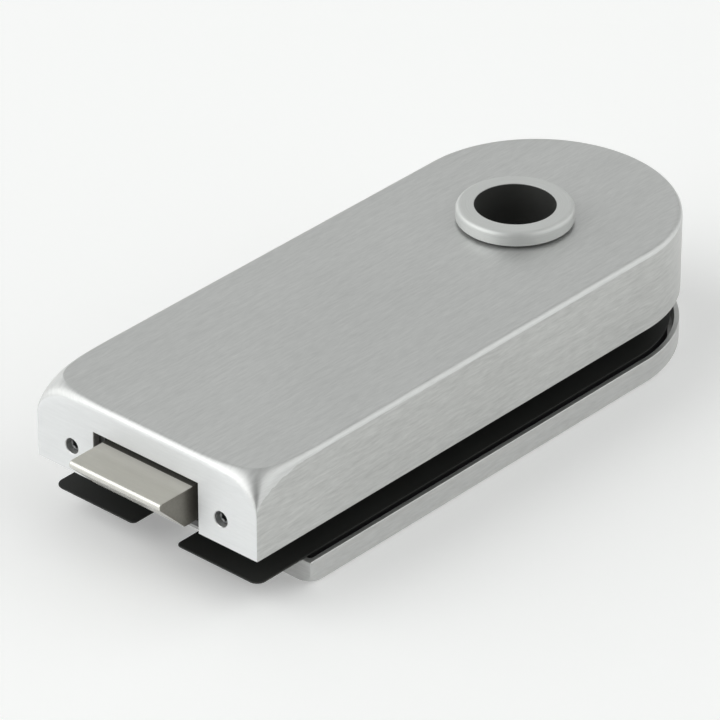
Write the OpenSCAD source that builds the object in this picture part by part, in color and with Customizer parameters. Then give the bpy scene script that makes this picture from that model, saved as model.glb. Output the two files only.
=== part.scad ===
// Glass door lock: lever latch case on one face of the pane, counterplate on
// the other, clamped through the glass.
// Frame: the lever axis is Z, the counterplate's outer face is z = 0, the
// latch points to -X and the round end of the case to +X.

/* [Case] */
// Length of the case from the latch face to the round end
case_len = 180; // [176:1:190]
// Width of the case, also the diameter of its round end
case_w = 72; // [71:0.5:74]
// Height of the case
case_h = 22; // [22:0.5:25]
// Wall thickness of the case cover
wall_t = 2; // [1.8:0.1:2.1]
// Thickness of the case cover's top
top_t = 2.5; // [2:0.1:2.7]
// Radius of the long top edges
edge_r = 1.4; // [0.8:0.1:1.8]
// Radius of the top edge at the latch face
front_r = 1.9; // [1.2:0.1:3]
// Radius along the diagonal of the two front top corners
corner_r = 10.8; // [8:0.1:11]
// Distance from the lever axis to the round end
back_set = 45.5; // [45:0.5:47]

/* [Glass and counterplate] */
// Glass thickness between the two layers
glass_t = 8; // [8:0.5:10]
// Height of the counterplate
plate_h = 7; // [7:0.5:9]
// How far the counterplate stays behind the latch face
plate_setback = 18.5; // [16:0.5:19]
// Rim width of the counterplate
plate_rim = 1.3; // [1:0.1:1.5]
// Thickness of the intermediate plate
layer_t = 0.6; // [0.5:0.1:0.9]
// Thickness of the gasket under the case
gasket_t = 0.4; // [0.3:0.1:0.6]
// Inset of the intermediate plate from the outline
layer_inset = 2.4; // [2.2:0.1:2.8]
// Half width of the notch at the intermediate plate's front
layer_notch = 7; // [5:0.5:9]

/* [Lever ring] */
// Outer diameter of the lever guide ring
ring_d = 30; // [28:0.5:32]
// Bore of the lever guide ring
ring_bore = 20.8; // [20.4:0.1:21.2]
// Height of the lever guide ring above the case
ring_h = 4.5; // [3.5:0.1:5]
// Bore of the lever bushes
lever_bore = 19.6; // [19:0.1:19.8]

/* [Latch] */
// Width of the latch head
latch_w = 29.8; // [28:0.1:30]
// Height of the latch head
latch_h = 10; // [9.5:0.1:10.1]
// How far the latch head stands out of the case
latch_out = 10.7; // [10.5:0.1:12]
// Travel of the latch
latch_travel = 10.5; // [10:0.1:10.5]
// Height of the blunt nose above the latch's ramp
nose_h = 1.6; // [1.2:0.1:2.4]

/* [Follower] */
// Square hole for the lever spindle
square_w = 8; // [7:0.5:9]
// Radius of the drive pin's path
drive_r = 18.3; // [18.2:0.1:18.4]
// Radius of the spring arm's tip
spring_arm_r = 16; // [15.8:0.1:16.2]

/* [Hidden] */
$fn = 96;

e = 0.01;
case_r = case_w / 2;
cx = back_set - case_r;               // centre of the round end
x0 = back_set - case_len;             // latch face of the case
px0 = x0 + plate_setback;             // front of the counterplate
z_layer = plate_h;                    // underside of the intermediate plate
z_glass0 = plate_h + layer_t;
z_glass1 = z_glass0 + glass_t;
z0 = z_glass1 + gasket_t;             // underside of the case
z1 = z0 + case_h;                     // top of the case
zb = z0 + 2.5;                        // top of the base plate
z_lid = z0 + 13;                      // underside of the mechanism lid
z_tail = z0 + 5;                      // underside of the latch tail
tail_t = 3;
z_l0 = z0 + 2;                        // underside of the latch head
z_l1 = z_l0 + latch_h;                // top of the latch head
nose_x = x0 - latch_out;
head_x1 = x0 + 22.5;                  // back of the latch head
guide_x0 = x0 + wall_t + 0.2;
guide_x1 = head_x1;
tail_hub = -24;                       // where the latch tail ends ahead of the hub
pin_r = 3;
post_x = x0 + 69.5;                   // spring post
spring_x0 = x0 + 26.5;                // front end of the latch spring
clamp_at = [[x0 + 39.5, 19], [x0 + 39.5, -19], [27, 17], [27, -17]];
pillar_at = [[x0 + 68.5, 24], [x0 + 68.5, -24], [36, 8], [36, -8]];
carrier_at = [[-74, 24], [-74, -24], [-22, 26], [-22, -26]];
screw_y = 24.4;
screw_z = z0 + 7.2;
arm_z = z0 + 9;                       // underside of the drive arm
arm_t = 3.4;
plunger_z = z0 + 7;                   // axis of the follower spring

// Plan outline: straight sides, square front, round end
module outline(front, inset) {
  translate([front + inset, -case_r + inset])
    square([cx - front - inset, case_w - 2 * inset]);
  translate([cx, 0]) circle(r = case_r - inset);
}

// Cuts the two front corners along an arc from the upright edge to the top
module corner_cut(front, top, r) {
  for (s = [-1, 1]) translate([front, s * case_r, top - r + 0.3]) rotate([0, 0, 135 * s]) difference() {
    translate([-r, -3 * r, 0]) cube([2 * r, 6 * r, r + 1]);
    translate([0.15 - r, 0, 0]) rotate([90, 0, 0]) cylinder(r = r, h = 8 * r, center = true);
  }
}

// Upright three-sided prism over a front corner at p, for bevelled corners
module corner_prism(p, leg, za, zc) {
  s = sign(p[1]);
  translate([0, 0, za]) linear_extrude(zc - za) polygon([
    [p[0] - 1, p[1] + s], [p[0] + leg + 1, p[1] + s], [p[0] - 1, p[1] - s * (leg + 1)]
  ]);
}

// Solid with the plan outline from a front position, rounded top edges, its
// own rounding of the front top edge, and rounded front top corners
module rounded_bar(front, h, er, fr, cr) {
  difference() {
    edged_bar(front, h, er, fr);
    corner_cut(front, h, cr);
  }
}

// The same bar before its front corners are rounded
module edged_bar(front, h, er, fr) {
  intersection() {
    union() {
      translate([front, 0, 0]) rotate([90, 0, 90]) linear_extrude(cx - front) {
        translate([-case_r, 0]) square([case_w, h - er]);
        translate([-case_r + er, 0]) square([case_w - 2 * er, h]);
        for (s = [-1, 1]) translate([s * (case_r - er), h - er]) circle(r = er);
      }
      translate([cx, 0, 0]) rotate_extrude() {
        square([case_r, h - er]);
        square([case_r - er, h]);
        translate([case_r - er, h - er]) intersection() {
          circle(r = er);
          square([er, er]);
        }
      }
    }
    translate([0, case_r + 1, 0]) rotate([90, 0, 0]) linear_extrude(case_w + 2) {
      translate([front, 0]) square([case_len + 2, h - fr]);
      translate([front + fr, 0]) square([case_len + 2 - fr, h]);
      translate([front + fr, h - fr]) circle(r = fr);
    }
  }
}

// Plate with the plan outline
module sheet(front, inset, z, t) {
  translate([0, 0, z]) linear_extrude(t) outline(front, inset);
}

// Round hole or pin along Z
module rod_z(p, r, za, zc) {
  translate([p[0], p[1], za]) cylinder(r = r, h = zc - za);
}

// Helical spring along +X, its ends closed by one flat turn each
function coil_u(u, turns, len, w) =
  let (n = turns * u)
  n < 1 ? w / 2 + n * w
  : n > turns - 1 ? len - w / 2 - (turns - n) * w
  : w * 1.5 + (n - 1) * (len - 3 * w) / (turns - 2);
module coil(r, w, len, turns, steps, sides) {
  n = turns * steps;
  pts = [for (i = [0:n], j = [0:sides - 1])
    let (a = 360 * i / steps, b = 360 * j / sides, q = r + w / 2 * cos(b))
    [coil_u(i / n, turns, len, w) + w / 2 * sin(b), q * cos(a), q * sin(a)]];
  faces = concat(
    [for (i = [0:n - 1], j = [0:sides - 1])
      let (k = (j + 1) % sides) [i * sides + j, i * sides + k, (i + 1) * sides + k]],
    [for (i = [0:n - 1], j = [0:sides - 1])
      let (k = (j + 1) % sides) [i * sides + j, (i + 1) * sides + k, (i + 1) * sides + j]],
    [[for (j = [0:sides - 1]) sides - 1 - j]],
    [[for (j = [0:sides - 1]) n * sides + j]]);
  polyhedron(points = pts, faces = faces);
}

// Aluminium shell of the case, open underneath
module case_cover() {
  color([0.72, 0.73, 0.72]) difference() {
    translate([0, 0, z0]) rounded_bar(x0, case_h, edge_r, front_r, corner_r);
    difference() {
      sheet(x0, wall_t, z0 - 1, case_h - top_t + 1);
      for (s = [-1, 1]) corner_prism([x0 + wall_t, s * (case_r - wall_t)], 5, z0 - 2, z1);
    }
    rod_z([0, 0], 12.05, z1 - top_t - 1, z1 + 1);
    translate([x0 - 1, -17, z0 - 1]) cube([wall_t + 2, 34, 15.1]);
    for (s = [-1, 1]) translate([x0 - 1, s * screw_y, screw_z])
      rotate([0, 90, 0]) cylinder(r = 2.05, h = wall_t + 2);
  }
}

// Turned guide ring for the lever's neck, with a spigot through the case top
module handle_ring() {
  color([0.78, 0.79, 0.79]) rotate_extrude() difference() {
    union() {
      translate([0, z1 + 0.7]) square([ring_d / 2, ring_h - 1.9]);
      translate([0, z1]) square([ring_d / 2 - 1.2, ring_h]);
      translate([ring_d / 2 - 1.2, z1 + ring_h - 1.2]) circle(r = 1.2);
      translate([0, z1 - 4.5]) square([12, 5]);
    }
    translate([-1, z1 - 5]) square([ring_bore / 2 + 1, ring_h + 6]);
    translate([11.3, z1 - 3.75]) square([2, 1.15]);
  }
}

// Black bearing bush for the lever's neck
module handle_bush() {
  color([0.09, 0.09, 0.09]) difference() {
    rod_z([0, 0], ring_bore / 2, z1 - 6.6, z1 + ring_h - 0.15);
    rod_z([0, 0], lever_bore / 2, z1 - 7, z1 + ring_h + 1);
  }
}

// Circlip that holds the ring under the case top
module ring_circlip() {
  color([0.35, 0.36, 0.38]) difference() {
    rod_z([0, 0], 14.2, z1 - 3.7, z1 - 2.65);
    rod_z([0, 0], 11.4, z1 - 4, z1 - 2);
    translate([8, -2.5, z1 - 4]) cube([8, 5, 3]);
  }
}

// Two socket set screws behind the holes of the latch face
module cover_screws() {
  color([0.5, 0.51, 0.53]) for (s = [-1, 1])
    translate([guide_x0 - 0.9, s * screw_y, screw_z]) rotate([0, 90, 0]) difference() {
      cylinder(r = 1.97, h = 11);
      translate([0, 0, -e]) cylinder(r = 1.15, h = 2.2, $fn = 6);
    }
}

// Steel base plate that carries the mechanism
module base_plate() {
  color([0.6, 0.61, 0.63]) difference() {
    sheet(guide_x1 + 0.3, 0, z0, 2.5);
    difference() {
      sheet(guide_x1 - 10, -5, z0 - 1, 5);
      sheet(guide_x1 - 20, wall_t + 0.3, z0 - 2, 7);
    }
    translate([guide_x1 - 1, -15.5, z0 - 1]) cube([12.5, 31, 5]);
    rod_z([0, 0], 10, z0 - 1, zb + 1);
    for (p = clamp_at) rod_z(p, 3.3, z0 - 1, zb + 1);
    rod_z([post_x, 0], 3, z0 - 1, zb + 1);
    for (s = [-1, 1]) rod_z([guide_x1 + 4, s * 26], 2, z0 - 1, zb + 1);
    rod_z([14.5, -6.94], 2.5, z0 - 1, zb + 1);
    rod_z([6.5, 15], 2.5, z0 - 1, zb + 1);
  }
}

// Cast block behind the latch face that guides the latch head
module front_guide() {
  w = case_w - 2 * wall_t - 0.6;
  color([0.42, 0.43, 0.44]) difference() {
    union() {
      translate([guide_x0, -w / 2, z0]) cube([guide_x1 - guide_x0, w, 18]);
      for (s = [0, 1]) mirror([0, s, 0])
        translate([guide_x1 - 1, 19, zb]) cube([9, w / 2 - 19, 3.5]);
    }
    translate([guide_x0 - 1, -latch_w / 2 - 0.4, z_l0 - 0.3])
      cube([guide_x1 - guide_x0 + 12, latch_w + 0.8, latch_h + 0.7]);
    for (s = [-1, 1]) translate([guide_x0 - 1, s * screw_y, screw_z])
      rotate([0, 90, 0]) cylinder(r = 2, h = 13);
    for (s = [-1, 1]) rod_z([guide_x1 + 4, s * 26], 2.2, z0, zb + 5);
    for (s = [-1, 1]) corner_prism([guide_x0, s * w / 2], 6, z0 - 1, z1);
  }
}

// Two screws that hold the guide block on the base plate
module guide_screws() {
  color([0.55, 0.56, 0.58]) for (s = [-1, 1]) difference() {
    union() {
      rod_z([guide_x1 + 4, s * 26], 1.97, z0 + 0.3, zb + 3.6);
      rod_z([guide_x1 + 4, s * 26], 3.5, zb + 3.5, zb + 5.7);
    }
    translate([guide_x1 + 4, s * 26, zb + 4.2]) cylinder(r = 1.45, h = 3, $fn = 6);
  }
}

// Latch head with its ramp underneath
module latch_bolt() {
  ramp = latch_h - nose_h;
  color([0.63, 0.61, 0.56]) difference() {
    translate([0, latch_w / 2, 0]) rotate([90, 0, 0]) linear_extrude(latch_w)
      polygon([[head_x1, z_l0], [nose_x + ramp, z_l0], [nose_x, z_l1 - nose_h],
        [nose_x, z_l1 - 0.5], [nose_x + 0.5, z_l1], [head_x1, z_l1]]);
    translate([head_x1 - 10, -8, z_tail]) cube([11, 16, tail_t]);
    for (s = [-1, 1]) rod_z([head_x1 - 5, s * 5], 1.5, z_l0 - 1, z_l1 + 1);
  }
}

// Flat tail of the latch: spring window, then the hook for the drive pin
module latch_tail() {
  color([0.58, 0.59, 0.61]) translate([0, 0, z_tail]) linear_extrude(tail_t) difference() {
    union() {
      translate([head_x1 - 10, -8]) square([tail_hub - head_x1 + 10, 16]);
      translate([tail_hub - 20, -26]) square([20, 20]);
      translate([tail_hub - 1, -26]) square([34, 13.7]);
    }
    translate([spring_x0, -4.2]) square([post_x + 3.6 - spring_x0, 8.4]);
    translate([-14.5, -22.2]) square([14.5 + pin_r + 0.6, 12]);
    for (s = [-1, 1]) translate([head_x1 - 5, s * 5]) circle(r = 1.5);
  }
}

// Two rivets that hold the tail in the latch head
module tail_rivets() {
  color([0.5, 0.5, 0.5]) for (s = [-1, 1])
    rod_z([head_x1 - 5, s * 5], 1.48, z_l0 + 0.2, z_l1 - 0.2);
}

// Compression spring of the latch
module latch_spring() {
  color([0.55, 0.56, 0.57]) translate([spring_x0 + 0.1, 0, z_tail + tail_t / 2])
    coil(3.15, 0.9, post_x - 4.65 - spring_x0 - 0.1, 14, 16, 8);
}

// Fixed post behind the latch spring
module spring_post() {
  color([0.52, 0.53, 0.55]) difference() {
    rod_z([post_x, 0], 2.98, z0 + 0.3, z0 + 11);
    translate([post_x - 5, 0, z_tail + tail_t / 2]) rotate([0, 90, 0]) cylinder(r = 1.2, h = 10);
  }
}

// Rod and collar inside the latch spring
module spring_rod() {
  zc = z_tail + tail_t / 2;
  color([0.6, 0.61, 0.62]) translate([0, 0, zc]) rotate([0, 90, 0]) {
    translate([0, 0, post_x - 31]) cylinder(r = 1.7, h = 27);
    translate([0, 0, post_x - 4.6]) cylinder(r = 3.5, h = 1.4);
    translate([0, 0, post_x - 4]) cylinder(r = 1.18, h = 6.6);
  }
}

// Bracket that guides the latch tail
module tail_guide() {
  color([0.45, 0.46, 0.47]) difference() {
    translate([post_x + 9, -12, zb]) cube([6, 24, 9]);
    translate([post_x + 8, -8.4, z_tail - 0.4]) cube([8, 16.8, tail_t + 0.8]);
  }
}

// Follower: hub with the square hole, drive arm and spring arm
module follower() {
  color([0.5, 0.5, 0.48]) difference() {
    union() {
      rod_z([0, 0], 11, zb + 0.3, z_lid - 0.3);
      rod_z([0, 0], 8, z0 + 0.2, z_lid + 2.2);
      translate([-5, -drive_r, arm_z]) cube([10, drive_r, arm_t]);
      rod_z([0, -drive_r], 5, arm_z, arm_z + arm_t);
      translate([-3.5, 0, plunger_z - 3]) cube([7, spring_arm_r, 6]);
      rod_z([0, spring_arm_r], 3.5, plunger_z - 3, plunger_z + 3);
    }
    translate([-square_w / 2, -square_w / 2, z0 - 1]) cube([square_w, square_w, 30]);
    rod_z([0, -drive_r], pin_r, arm_z - 1, arm_z + arm_t + 1);
  }
}

// Pin that pulls the latch tail
module drive_pin() {
  color([0.66, 0.67, 0.68]) rod_z([0, -drive_r], pin_r - 0.02, z_tail - 0.6, arm_z + arm_t - 0.05);
}

// Plunger between the spring arm and its spring
module spring_plunger() {
  color([0.64, 0.65, 0.66]) translate([0, spring_arm_r, plunger_z]) rotate([0, -90, 0]) {
    translate([0, 0, 4.1]) cylinder(r = 4.1, h = 3);
    translate([0, 0, 6]) cylinder(r = 2, h = 46);
  }
}

// Spring of the follower
module follower_spring() {
  color([0.55, 0.56, 0.57]) translate([-37.9, spring_arm_r, plunger_z])
    coil(3.2, 1.1, 30.7, 9, 16, 8);
}

// Block that holds the follower spring and guides the plunger
module plunger_block() {
  color([0.45, 0.46, 0.47]) difference() {
    translate([-46, spring_arm_r - 6.5, zb]) cube([8, 13, 9.8]);
    translate([-47, spring_arm_r, plunger_z]) rotate([0, 90, 0]) cylinder(r = 2.06, h = 10);
  }
}

// Stops at both ends of the follower's turn
module stop_pins() {
  color([0.6, 0.61, 0.62]) {
    rod_z([14.5, -6.94], 2.48, z0 + 0.3, z_lid - 0.5);
    rod_z([6.5, 15], 2.48, z0 + 0.3, z_lid - 0.5);
  }
}

// Bearing bushes of the follower
module bearing(za, zc) {
  color([0.72, 0.58, 0.32]) difference() {
    rod_z([0, 0], 9.98, za, zc);
    rod_z([0, 0], 8.05, za - 1, zc + 1);
  }
}
module lower_bearing() { bearing(z0 + 0.05, zb); }
module upper_bearing() { bearing(z_lid, z_lid + 2); }

// Steel lid over the mechanism
module mechanism_lid() {
  color([0.6, 0.61, 0.63]) difference() {
    intersection() {
      sheet(x0, 4, z_lid, 2);
      translate([x0 + 62.5, -29, z_lid - 1]) cube([130, 58, 4]);
    }
    rod_z([0, 0], 10, z_lid - 1, z_lid + 3);
    for (p = pillar_at) rod_z(p, 2.1, z_lid - 1, z_lid + 3);
    for (i = [2, 3]) rod_z(clamp_at[i], 5.6, z_lid - 1, z_lid + 3);
  }
}

// Four pillars under the lid
module lid_pillars() {
  color([0.55, 0.56, 0.58]) for (p = pillar_at) difference() {
    rod_z(p, 4, zb, z_lid);
    rod_z(p, 2, zb + 2, z_lid + 1);
  }
}

// Four screws that hold the lid
module lid_screws() {
  color([0.62, 0.63, 0.65]) for (p = pillar_at) difference() {
    union() {
      rod_z(p, 1.97, zb + 3, z_lid + 2.1);
      rod_z(p, 3.5, z_lid + 2, z_lid + 4.2);
    }
    translate([p[0], p[1], z_lid + 2.8]) cylinder(r = 1.45, h = 3, $fn = 6);
  }
}

// Thin gasket between the case and the glass
module case_gasket() {
  color([0.1, 0.1, 0.1]) difference() {
    sheet(x0, 2.7, z_glass1, gasket_t);
    translate([x0 - 1, -17, z_glass1 - 1]) cube([25, 34, 3]);
    rod_z([0, 0], 13.3, z_glass1 - 1, z0 + 1);
    for (p = clamp_at) rod_z(p, 6.3, z_glass1 - 1, z0 + 1);
  }
}

// Black layer on the counterplate: runs forward under the latch face as two
// ears with a notch between them
module intermediate_plate() {
  r = 2.6;
  rn = 1.3;
  ex = x0 + 2.7;
  hw = case_r - layer_inset;
  color([0.1, 0.1, 0.1]) translate([0, 0, z_layer]) linear_extrude(layer_t) difference() {
    union() {
      translate([ex + r, -hw]) square([cx - ex - r, 2 * hw]);
      translate([ex, -hw + r]) square([r + 1, 2 * hw - 2 * r]);
      for (s = [-1, 1]) translate([ex + r, s * (hw - r)]) circle(r = r);
      translate([cx, 0]) circle(r = hw);
    }
    translate([ex - 1, -layer_notch]) square([15, 2 * layer_notch]);
    for (s = [-1, 1]) difference() {
      translate([ex - 1, s * (layer_notch + rn / 2 - 0.5) - rn / 2 - 0.5]) square([rn + 1, rn + 1]);
      translate([ex + rn, s * (layer_notch + rn)]) circle(r = rn);
      translate([ex - 2, s * (layer_notch + rn + 3) - 3]) square([rn + 6, 6]);
    }
    circle(r = 13.3);
    for (p = clamp_at) translate(p) circle(r = 6.3);
  }
}

// Counterplate: a shallow aluminium tray, its open side to the glass
module counterplate() {
  color([0.72, 0.73, 0.72]) difference() {
    translate([0, 0, plate_h]) mirror([0, 0, 1]) rounded_bar(px0, plate_h, edge_r, edge_r, 0.37 * corner_r);
    sheet(px0, plate_rim, 2, plate_h);
    rod_z([0, 0], 12, -1, 5);
    for (p = carrier_at) rod_z(p, 1.5, 0.6, 5);
  }
}

// Threaded carrier plate in the counterplate
module counter_carrier() {
  color([0.16, 0.16, 0.17]) difference() {
    sheet(px0, 2.9, 2, plate_h - 2);
    rod_z([0, 0], 12.05, 1, plate_h + 1);
    for (p = clamp_at) rod_z(p, 3.03, 1, plate_h + 1);
    for (p = carrier_at) rod_z(p, 1.6, 1, plate_h + 1);
    for (p = carrier_at) rod_z(p, 3.1, plate_h - 2.2, plate_h + 1);
  }
}

// Four screws that hold the carrier in the counterplate
module carrier_screws() {
  color([0.5, 0.51, 0.52]) for (p = carrier_at) difference() {
    union() {
      rod_z(p, 1.47, 0.8, plate_h - 2.1);
      rod_z(p, 2.9, plate_h - 2.2, plate_h - 0.3);
    }
    translate([p[0], p[1], plate_h - 1.5]) cylinder(r = 1.15, h = 3, $fn = 6);
  }
}

// Four screws that clamp both sides through the glass
module clamp_screws() {
  color([0.5, 0.51, 0.53]) for (p = clamp_at) difference() {
    union() {
      rod_z(p, 3, 2.3, zb + 0.1);
      rod_z(p, 5, zb, zb + 4);
    }
    translate([p[0], p[1], zb + 1.6]) cylinder(r = 2.89, h = 3, $fn = 6);
  }
}

// Sleeves around the clamp screws in the glass
module glass_sleeves() {
  color([0.12, 0.12, 0.12]) for (p = clamp_at) difference() {
    rod_z(p, 6, plate_h, z0);
    rod_z(p, 3.2, plate_h - 1, z0 + 1);
  }
}

// Sleeve around the spindle in the glass
module hub_sleeve() {
  color([0.12, 0.12, 0.12]) difference() {
    rod_z([0, 0], 13, plate_h, z0);
    rod_z([0, 0], 10.2, plate_h - 1, z0 + 1);
  }
}

// Bush for the lever's neck in the counterplate
module counter_bush() {
  color([0.09, 0.09, 0.09]) difference() {
    rod_z([0, 0], 11.98, 0, plate_h - 0.1);
    rod_z([0, 0], lever_bore / 2, -1, plate_h + 1);
  }
}

case_cover();
handle_ring();
handle_bush();
ring_circlip();
cover_screws();
base_plate();
front_guide();
guide_screws();
latch_bolt();
latch_tail();
tail_rivets();
latch_spring();
spring_post();
spring_rod();
tail_guide();
follower();
drive_pin();
spring_plunger();
follower_spring();
plunger_block();
stop_pins();
lower_bearing();
upper_bearing();
mechanism_lid();
lid_pillars();
lid_screws();
case_gasket();
intermediate_plate();
counterplate();
counter_carrier();
carrier_screws();
clamp_screws();
glass_sleeves();
hub_sleeve();
counter_bush();
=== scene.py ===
import math

import bmesh
import bpy
import numpy as np
from mathutils import Matrix, Vector
from mathutils.geometry import delaunay_2d_cdt


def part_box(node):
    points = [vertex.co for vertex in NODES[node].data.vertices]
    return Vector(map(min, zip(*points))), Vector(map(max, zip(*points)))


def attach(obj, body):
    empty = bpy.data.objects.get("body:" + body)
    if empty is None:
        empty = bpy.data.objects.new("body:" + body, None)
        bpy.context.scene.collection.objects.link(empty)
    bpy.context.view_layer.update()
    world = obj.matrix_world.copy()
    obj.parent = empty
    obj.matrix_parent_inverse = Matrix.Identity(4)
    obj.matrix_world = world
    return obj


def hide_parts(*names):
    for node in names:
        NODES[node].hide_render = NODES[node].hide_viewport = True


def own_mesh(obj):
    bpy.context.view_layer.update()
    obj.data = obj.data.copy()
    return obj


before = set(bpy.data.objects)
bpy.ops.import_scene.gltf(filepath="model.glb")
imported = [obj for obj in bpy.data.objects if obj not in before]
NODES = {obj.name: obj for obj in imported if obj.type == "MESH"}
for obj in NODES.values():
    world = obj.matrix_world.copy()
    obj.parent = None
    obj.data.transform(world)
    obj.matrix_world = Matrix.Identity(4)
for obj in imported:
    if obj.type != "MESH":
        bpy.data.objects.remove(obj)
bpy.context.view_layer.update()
scene = bpy.context.scene

# ------------------------------------------------------------------ camera
F_PX = 5874.3                       # focal length in pixels of a 720 px frame
AX_R = Vector((0.66716, -0.74491, 0.0))
AX_U = Vector((0.38342, 0.34340, 0.85735))
AX_B = Vector((-0.63865, -0.57199, 0.51473))
CAM_AT = -0.038845 * AX_R - 0.002646 * AX_U + 1.49134 * AX_B
cam = bpy.data.objects.new("camera", bpy.data.cameras.new("camera"))
scene.collection.objects.link(cam)
cam.data.sensor_width = 36.0
cam.data.lens = F_PX / 720.0 * 36.0
cam.data.clip_start = 0.05
cam.data.clip_end = 50.0
rot = Matrix((AX_R, AX_U, AX_B)).transposed()
cam.matrix_world = Matrix.Translation(CAM_AT) @ rot.to_4x4()
scene.camera = cam


# ------------------------------------------------------------------ mesh kit
class Build:
    """Polygons in millimetres, welded into one closed mesh."""

    def __init__(self):
        self.v, self.f, self.key = [], [], {}

    def vert(self, p):
        k = (round(p[0], 4), round(p[1], 4), round(p[2], 4))
        if k not in self.key:
            self.key[k] = len(self.v)
            self.v.append(k)
        return self.key[k]

    def poly(self, pts):
        ids = [self.vert(p) for p in pts]
        ids = [a for i, a in enumerate(ids) if a != ids[i - 1]]
        if len(set(ids)) >= 3:
            self.f.append(ids)

    def strip(self, a, b, closed=False):
        n = len(a)
        for i in range(n if closed else n - 1):
            j = (i + 1) % n
            self.poly([a[i], a[j], b[j], b[i]])

    def planar(self, outer, holes, drop):
        """Fills a flat outline with holes. drop is the axis that is constant."""
        keep = [i for i in range(3) if i != drop]
        level = outer[0][drop]
        pts, edges, loops = [], [], []
        for loop in [outer] + list(holes):
            clean = []
            for p in loop:
                q = (round(p[keep[0]], 4), round(p[keep[1]], 4))
                if not clean or q != clean[-1]:
                    clean.append(q)
            if clean[0] == clean[-1]:
                clean.pop()
            base = len(pts)
            pts += clean
            edges += [(base + i, base + (i + 1) % len(clean)) for i in range(len(clean))]
            loops.append(np.array(clean))
        out = delaunay_2d_cdt([Vector(p) for p in pts], edges, [], 0, 1e-6)
        co = np.array([[p.x, p.y] for p in out[0]])
        for tri in out[2]:
            c = co[list(tri)].mean(0)
            if not inside(c, loops[0]) or any(inside(c, h) for h in loops[1:]):
                continue
            face = []
            for i in tri:
                p = [0.0, 0.0, 0.0]
                p[keep[0]], p[keep[1]], p[drop] = co[i][0], co[i][1], level
                face.append(p)
            self.poly(face)

    def piece(self, name, sharp=32.0, weighted=True):
        me = bpy.data.meshes.new(name)
        me.from_pydata([[c * 0.001 for c in p] for p in self.v], [], self.f)
        bm = bmesh.new()
        bm.from_mesh(me)
        bmesh.ops.dissolve_degenerate(bm, dist=1e-8, edges=bm.edges)
        bmesh.ops.recalc_face_normals(bm, faces=bm.faces)
        if bm.calc_volume(signed=True) < 0:
            bmesh.ops.reverse_faces(bm, faces=bm.faces)
        bm.to_mesh(me)
        bm.free()
        me.shade_smooth()
        me.set_sharp_from_angle(angle=math.radians(sharp))
        ob = bpy.data.objects.new(name, me)
        scene.collection.objects.link(ob)
        if weighted:
            apply_weighted(ob)
        return ob


def apply_weighted(ob):
    m = ob.modifiers.new("wn", "WEIGHTED_NORMAL")
    m.keep_sharp = True
    m.weight = 60
    dg = bpy.context.evaluated_depsgraph_get()
    me = bpy.data.meshes.new_from_object(ob.evaluated_get(dg))
    old = ob.data
    ob.modifiers.clear()
    ob.data = me
    me.name = old.name
    bpy.data.meshes.remove(old)


def inside(p, loop):
    x, y = p
    a, b = loop, np.roll(loop, -1, axis=0)
    cond = (a[:, 1] > y) != (b[:, 1] > y)
    with np.errstate(divide="ignore", invalid="ignore"):
        xs = (b[:, 0] - a[:, 0]) * (y - a[:, 1]) / (b[:, 1] - a[:, 1]) + a[:, 0]
    return bool(np.count_nonzero(cond & (x < xs)) % 2)


def circle(cx, cy, r, n, z=None, start=0.0):
    pts = [(cx + r * math.cos(start + 2 * math.pi * i / n),
            cy + r * math.sin(start + 2 * math.pi * i / n)) for i in range(n)]
    return pts if z is None else [(x, y, z) for x, y in pts]


def revolve(b, profile, n=160, closed=True):
    """Turns a profile of (r, z) about the lever axis."""
    rings = [[(r * math.cos(2 * math.pi * i / n), r * math.sin(2 * math.pi * i / n), z)
              for i in range(n)] for r, z in profile]
    for i in range(len(rings) if closed else len(rings) - 1):
        b.strip(rings[i], rings[(i + 1) % len(rings)], closed=True)


def arc(cx, cz, r, a0, a1, n):
    return [(cx + r * math.cos(math.radians(a0 + (a1 - a0) * i / n)),
             cz + r * math.sin(math.radians(a0 + (a1 - a0) * i / n))) for i in range(n + 1)]


def mm(node):
    lo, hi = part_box(node)
    return [c * 1000 for c in lo], [c * 1000 for c in hi]


# ------------------------------------------------------------------ plan loops
(CX0, CY0, CZ0), (CX1, CY1, CZ1) = mm("case_cover")
CASE_R = CY1
ARC_X = CX1 - CASE_R


def plan_loop(front, ds, df, ln, z, w, n_side=72, n_end=120, n_cor=33, n_front=40):
    """One level of the case outline, as five named runs of points. The front
    corners are conic curves that reach ln along each side, sharper for larger w."""
    ys = CASE_R - ds
    xf = front + df
    xa = xf + ln
    t = np.linspace(0, 1, n_side) ** 1.7
    right = [(xa + (ARC_X - xa) * k, -ys, z) for k in t]
    end = [(ARC_X + ys * math.sin(a), -ys * math.cos(a), z)
           for a in np.linspace(0, math.pi, n_end + 1)][1:-1]
    left = [(x, -y, z) for x, y, _ in reversed(right)]
    cl = []
    for t in np.linspace(0, 1, n_cor):
        den = (1 - t) ** 2 + 2 * w * t * (1 - t) + t * t
        cl.append((xf + ln * (1 - t) ** 2 / den, ys - ln * t * t / den, z))
    fr = [(xf, y, z) for y in np.linspace(ys - ln, -(ys - ln), n_front)]
    cr = [(x, -y, z) for x, y, _ in reversed(cl)]
    return {"right": right, "end": end, "left": left, "cl": cl, "front": fr, "cr": cr}


def around(lp):
    """Side runs from the front right corner round to the front left corner."""
    return lp["cr"] + lp["right"][1:] + lp["end"] + lp["left"] + lp["cl"][1:]


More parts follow.
